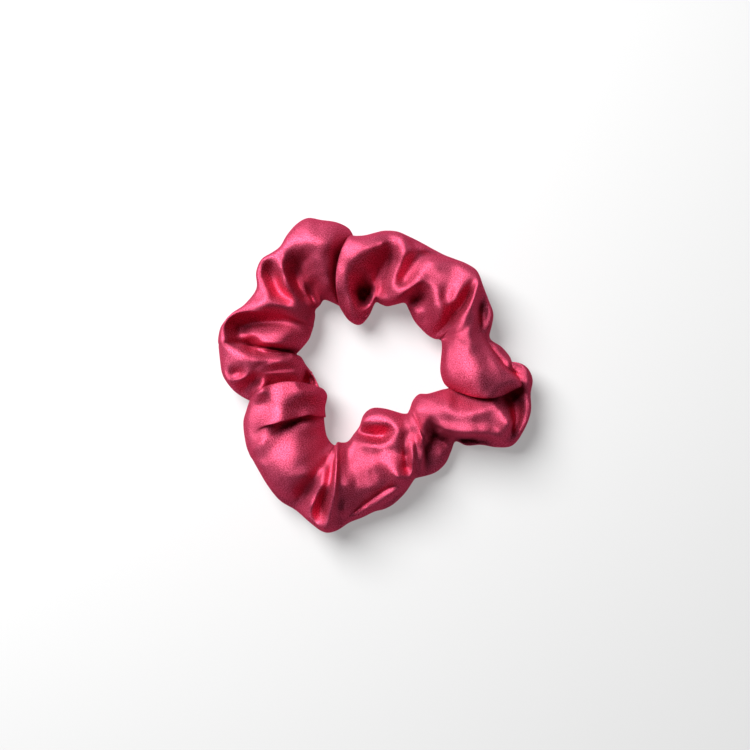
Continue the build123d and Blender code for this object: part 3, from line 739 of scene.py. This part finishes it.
def satin():
    """Silky cloth: light turns back off its threads, rose where it is lit and deep red in its folds."""
    material, shader, nodes, links = new_material("satin")
    shader.inputs["Metallic"].default_value = 0.9
    shader.inputs["Roughness"].default_value = 0.56
    shader.inputs["Specular IOR Level"].default_value = 0.3
    shader.inputs["Specular Tint"].default_value = (0.45, 0.09, 0.15, 1)
    shader.inputs["Anisotropic"].default_value = 0.3

    place = nodes.new("ShaderNodeUVMap")
    place.uv_map = "cloth"
    weave = nodes.new("ShaderNodeTexWave")
    weave.wave_type = "BANDS"
    weave.bands_direction = "DIAGONAL"
    weave.inputs["Scale"].default_value = 1 / THREAD_PITCH / 2
    weave.inputs["Distortion"].default_value = 1.2
    weave.inputs["Detail"].default_value = 2.0
    weave.inputs["Detail Scale"].default_value = 1.5
    links.new(place.outputs["UV"], weave.inputs["Vector"])
    grain = nodes.new("ShaderNodeTexNoise")
    grain.inputs["Scale"].default_value = 2600.0
    grain.inputs["Detail"].default_value = 3.0
    grain.inputs["Roughness"].default_value = 0.7
    links.new(place.outputs["UV"], grain.inputs["Vector"])
    height = nodes.new("ShaderNodeMath")
    height.operation = "MULTIPLY_ADD"
    height.inputs[1].default_value = 0.35
    links.new(weave.outputs["Fac"], height.inputs[0])
    links.new(grain.outputs["Fac"], height.inputs[2])
    add_bump(nodes, links, height.outputs["Value"], 0.8, 0.00022)
    add_colours(nodes, links, grain.outputs["Fac"], (0.36, 0.43, 0.035, 0.08), (0.64, 0.83, 0.245, 0.385))
    return material


# ---------------------------------------------------------------- pieces
def add_piece(name, mesh, material):
    """One of the object's real pieces, with its material and the slot that material fills."""
    piece = bpy.data.objects.new(name, mesh)
    bpy.context.scene.collection.objects.link(piece)
    piece.data.materials.append(material)
    return piece


def apply_modifiers(piece):
    """Makes the modifiers' result the piece's own mesh."""
    graph = bpy.context.evaluated_depsgraph_get()
    mesh = bpy.data.meshes.new_from_object(piece.evaluated_get(graph))
    piece.modifiers.clear()
    old = piece.data
    piece.data = mesh
    bpy.data.meshes.remove(old)


def add_sleeve():
    """The satin sleeve.  Also gives its points, which the pieces inside it follow."""
    points = sleeve_surface()
    points = relaxed(points)
    sleeve = add_piece("satin_sleeve", grid_mesh("satin_sleeve", points), satin())
    finer = sleeve.modifiers.new("finer", "SUBSURF")
    finer.levels = finer.render_levels = 1
    thick = sleeve.modifiers.new("thick", "SOLIDIFY")
    thick.thickness = CLOTH_THICKNESS
    thick.offset = -1
    apply_modifiers(sleeve)
    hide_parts("sleeve_held_side", "sleeve_pulled_side")
    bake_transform(sleeve)
    return points


# ---------------------------------------------------------------- elastic inside the sleeve
RING_CENTRE = np.array([-1.95, 2.77]) * MM
ELASTIC_RADIUS, ELASTIC_THICKNESS = 31.0 * MM, 1.0 * MM
ELASTIC_TOP, ELASTIC_WIDTH = 12.8 * MM, 6.0 * MM
ELASTIC_START, JOG_START, JOG_END, ELASTIC_END = 183.0, 531.0, 543.0, 569.0   # degrees along its run
ELASTIC_ANGLES = np.linspace(ELASTIC_START, ELASTIC_END, 387)
ELASTIC_GAP = 0.9 * MM                      # room kept between its upper edge and the sleeve
GAP_ASIDE, GAP_DEGREES = 1.5 * MM, 4.5      # how far around that room is looked for
GAP_SMOOTHING = 5                           # angles either side that the upper edge is evened over
LAP_RADIUS = 32.06 * MM                     # where its outer end lies over the inner one
RUBBER_CORDS, CORD_STEPS = 9, 6             # ridges across its width, one for each cord in the braid


def on_ring(radius, degrees, height):
    """Points at a radius and an angle round the ring's middle."""
    turn = np.radians(degrees)
    x = RING_CENTRE[0] + radius * np.cos(turn)
    y = RING_CENTRE[1] + radius * np.sin(turn)
    return np.stack(np.broadcast_arrays(x, y, height), -1)


def elastic_tops(points, angles):
    """How high the elastic's upper edge stands at each angle: under the sleeve's folds."""
    top = points[:, : HALF + 1].reshape(-1, 3)
    offset = top[:, :2] - RING_CENTRE
    distance = np.linalg.norm(offset, axis=1)
    over = (distance > ELASTIC_RADIUS - GAP_ASIDE) & (distance < LAP_RADIUS + GAP_ASIDE)
    turned = np.degrees(np.arctan2(offset[over, 1], offset[over, 0]))
    heights = top[over, 2]
    room = np.empty(len(angles))
    for number, angle in enumerate(angles):
        apart = np.abs((turned - angle + 180) % 360 - 180)
        room[number] = heights[apart < GAP_DEGREES].min() - ELASTIC_GAP
    room = np.pad(np.minimum(room, ELASTIC_TOP), GAP_SMOOTHING, "edge")
    count = 2 * GAP_SMOOTHING + 1
    return np.convolve(room, np.full(count, 1 / count), "valid")


def elastic_mesh(points):
    """A flat strip on edge, ridged over its cords, which runs once round and laps over itself."""
    jog = smooth_step((ELASTIC_ANGLES - JOG_START) / (JOG_END - JOG_START))
    radii = ELASTIC_RADIUS + (LAP_RADIUS - ELASTIC_RADIUS) * jog
    tops = elastic_tops(points, ELASTIC_ANGLES)
    share = np.linspace(0, 1, CORD_STEPS * RUBBER_CORDS + 1)
    # thinner between the cords, and thinnest at both edges
    ridges = 0.8 + 0.2 * np.abs(np.sin(math.pi * RUBBER_CORDS * share))
    ridges *= 0.45 + 0.55 * smooth_step(np.minimum(share, 1 - share) / 0.06)
    out = np.concatenate([ridges, -ridges[::-1]]) * ELASTIC_THICKNESS / 2
    down = np.concatenate([share, share[::-1]]) * ELASTIC_WIDTH
    heights = tops[:, None] - down[None, :]
    strip = on_ring(radii[:, None] + out[None, :], ELASTIC_ANGLES[:, None], heights)
    return tube_mesh("elastic_loop", [strip])


def tube_mesh(name, tubes):
    """A mesh of closed tubes with capped ends, each from points as [place along it, place round it, axis]."""
    corners, faces, lengths = [], [], []
    for tube in tubes:
        base = len(corners)
        rows, columns = tube.shape[:2]
        corners += tube.reshape(-1, 3).tolist()
        lengths += np.repeat(running_total(step_lengths(tube.mean(1))), columns).tolist()
        for row in range(rows - 1):
            for column in range(columns):
                near, far = base + row * columns, base + (row + 1) * columns
                following = (column + 1) % columns
                faces.append((near + column, near + following, far + following, far + column))
        faces.append(tuple(range(base + columns - 1, base - 1, -1)))
        faces.append(tuple(range(base + (rows - 1) * columns, base + rows * columns)))
    mesh = bpy.data.meshes.new(name)
    mesh.from_pydata(corners, [], faces)
    mesh.polygons.foreach_set("use_smooth", [True] * len(mesh.polygons))
    mesh.attributes.new("along", "FLOAT", "POINT").data.foreach_set("value", lengths)
    mesh.update()
    return mesh


def braided_elastic():
    """White braid: rows of slanted stitches over the rubber cords."""
    material, shader, nodes, links = new_material("braided_elastic")
    shader.inputs["Roughness"].default_value = 0.85
    shader.inputs["Sheen Weight"].default_value = 0.3
    along = nodes.new("ShaderNodeAttribute")
    along.attribute_name = "along"
    place = nodes.new("ShaderNodeTexCoord")
    split = nodes.new("ShaderNodeSeparateXYZ")
    links.new(place.outputs["Object"], split.inputs["Vector"])
    slanted = nodes.new("ShaderNodeCombineXYZ")
    links.new(along.outputs["Fac"], slanted.inputs["X"])
    links.new(split.outputs["Z"], slanted.inputs["Y"])
    braid = nodes.new("ShaderNodeTexWave")
    braid.bands_direction = "DIAGONAL"
    braid.inputs["Scale"].default_value = 450.0
    braid.inputs["Distortion"].default_value = 0.8
    links.new(slanted.outputs["Vector"], braid.inputs["Vector"])
    add_bump(nodes, links, braid.outputs["Fac"], 0.7, 0.0002)
    add_colours(nodes, links, braid.outputs["Fac"], (0, 0.62, 0.59, 0.53), (1, 0.90, 0.88, 0.83))
    return material


def add_elastic(points):
    """The flat elastic, under the tops of the sleeve's folds."""
    elastic = add_piece("elastic_loop", elastic_mesh(points), braided_elastic())
    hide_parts("elastic_band")
    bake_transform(elastic)


# ---------------------------------------------------------------- threads
THREAD_RADIUS = 0.2 * MM
SEAM_STITCH = (2.3 * MM, 3.0 * MM)          # a stitch's length, and the length from one to the next
CLOSING_STITCH = (1.9 * MM, 2.5 * MM)
SEAM_COLUMN = HALF + 9                      # the long seam runs below the outer edge
TOPSTITCH_COLUMN = HALF + 2
INSIDE, ON_TOP = 0.55 * MM, -0.05 * MM      # how deep a stitch's middle lies under the cloth's face
JOIN_FROM, JOIN_TO, JOIN_HOLES = 187.3, 204.7, 9   # degrees: the zigzag that joins the elastic's ends
JOIN_REACH = 2.0 * MM                       # how far it goes above and below the elastic's middle
SEWN_FROM, SEWN_TO = 172.0, 214.0           # degrees: the ends of the closing stitches
STITCH_STEPS, SIDES = 11, 12                # along a stitch and round it
PLIES, PLY_DEPTH, PLY_TWIST = 3, 0.1, 1.6   # twist in radians over half a stitch
NO_STITCH_WAY = (0.3, 0.2, 0.93)            # a direction that no stitch runs in


def stitch(path):
    """One stitch of twisted thread, with rounded ends, along a short path of points."""
    path = smooth_curve(path, STITCH_STEPS)
    ahead = np.gradient(path, axis=0)
    ahead /= np.linalg.norm(ahead, axis=1)[:, None]
    aside = np.cross(ahead, NO_STITCH_WAY)
    aside /= np.linalg.norm(aside, axis=1)[:, None]
    upward = np.cross(aside, ahead)
    share = np.linspace(-1, 1, STITCH_STEPS)
    # blunt, rounded ends
    taper = np.sqrt(np.clip(1 - np.abs(share) ** 6, 0.02, 1))
    turn = np.arange(SIDES) * 2 * math.pi / SIDES
    plies = 1 + PLY_DEPTH * np.cos(PLIES * (turn[None, :] - PLY_TWIST * share[:, None]))
    radius = (THREAD_RADIUS * taper[:, None] * plies)[:, :, None]
    outward = np.cos(turn)[None, :, None] * aside[:, None, :]
    outward = outward + np.sin(turn)[None, :, None] * upward[:, None, :]
    return path[:, None, :] + radius * outward


def stitches(line, length, pitch):
    """Stitches laid one after another along a line of points."""
    travelled = running_total(step_lengths(line))
    starts = np.arange(pitch / 2, travelled[-1] - length, pitch)
    return [stitch(points_at(np.linspace(start, start + length, 4), travelled, line)) for start in starts]


def under_face(points, rows, columns, depth):
    """Points of the sleeve moved inward by depth, for matching lists of rows and columns."""
    count, around = points.shape[:2]
    here = points[rows % count, columns % around]
    ahead = points[(rows + 1) % count, columns % around] - points[(rows - 1) % count, columns % around]
    aside = points[rows % count, (columns + 1) % around] - points[rows % count, (columns - 1) % around]
    inward = np.cross(ahead, aside)
    return here + inward / np.linalg.norm(inward, axis=1)[:, None] * depth


def sewing_thread():
    """Rose polyester thread, with the fine twist of its plies."""
    material, shader, nodes, links = new_material("sewing_thread")
    shader.inputs["Roughness"].default_value = 0.6
    shader.inputs["Sheen Weight"].default_value = 0.2
    fibres = nodes.new("ShaderNodeTexNoise")
    fibres.inputs["Scale"].default_value = 6000.0
    fibres.inputs["Detail"].default_value = 2.0
    place = nodes.new("ShaderNodeTexCoord")
    links.new(place.outputs["Object"], fibres.inputs["Vector"])
    add_bump(nodes, links, fibres.outputs["Fac"], 0.4, 0.00005)
    add_colours(nodes, links, fibres.outputs["Fac"], (0, 0.36, 0.035, 0.08), (1, 0.62, 0.13, 0.22))
    return material


def add_threads(points):
    """The sleeve's long seam and end seam, the stitches that close it, and the elastic's join."""
    count = len(points)
    all_rows = np.arange(count)
    closing_rows = closing_part(points)
    around = np.arange(2 * HALF - 3) + SEAM_COLUMN + 2
    seam = under_face(points, all_rows, np.full(count, SEAM_COLUMN), INSIDE)
    across = under_face(points, np.zeros(len(around), int), around, INSIDE)
    closing = under_face(points, closing_rows, np.full(len(closing_rows), TOPSTITCH_COLUMN), ON_TOP)
    thread = sewing_thread()
    long_seam = stitches(seam, *SEAM_STITCH)
    add_thread("long_seam", long_seam, thread, "long_seam_held_side", "long_seam_pulled_side")
    add_thread("end_seam", stitches(across, *SEAM_STITCH), thread, "end_seam_thread")
    add_thread("closing_stitches", stitches(closing, *CLOSING_STITCH), thread, "closing_topstitch")
    add_thread("elastic_join", elastic_join(points), thread, "elastic_join_thread")


def add_thread(name, tubes, material, *nodes):
    """A piece of thread made of stitches, with the CAD nodes that it stands for."""
    thread = add_piece(name, tube_mesh(name, tubes), material)
    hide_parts(*nodes)
    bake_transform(thread)


def closing_part(points):
    """The rows either side of the closing seam that are sewn shut from outside."""
    outer = points[:, HALF, :2] - RING_CENTRE
    turned = np.degrees(np.arctan2(outer[:, 1], outer[:, 0])) % 360
    count = len(points)
    first, last = 0, 0
    while turned[(first - 1) % count] > SEWN_FROM:
        first -= 1
    while turned[last + 1] < SEWN_TO:
        last += 1
    return np.arange(first, last + 1)


def elastic_join(points):
    """The zigzag through both ends of the elastic, with a run on each face and one through each hole."""
    angles = np.linspace(JOIN_FROM, JOIN_TO, JOIN_HOLES)
    tops = elastic_tops(points, ELASTIC_ANGLES)
    heights = np.interp(angles, ELASTIC_ANGLES, tops) - ELASTIC_WIDTH / 2
    heights += np.where(np.arange(JOIN_HOLES) % 2 == 1, JOIN_REACH, -JOIN_REACH)
    radii = (ELASTIC_RADIUS - ELASTIC_THICKNESS / 2, LAP_RADIUS + ELASTIC_THICKNESS / 2)
    faces = [on_ring(radius, angles, heights) for radius in radii]
    made = [stitch([start, (start + end) / 2, end]) for face in faces for start, end in zip(face, face[1:])]
    made += [stitch([start, (start + end) / 2, end]) for start, end in zip(*faces)]
    return made


add_camera()
add_key_light()
add_surround()
add_floor()
sleeve_points = add_sleeve()
add_elastic(sleeve_points)
add_threads(sleeve_points)
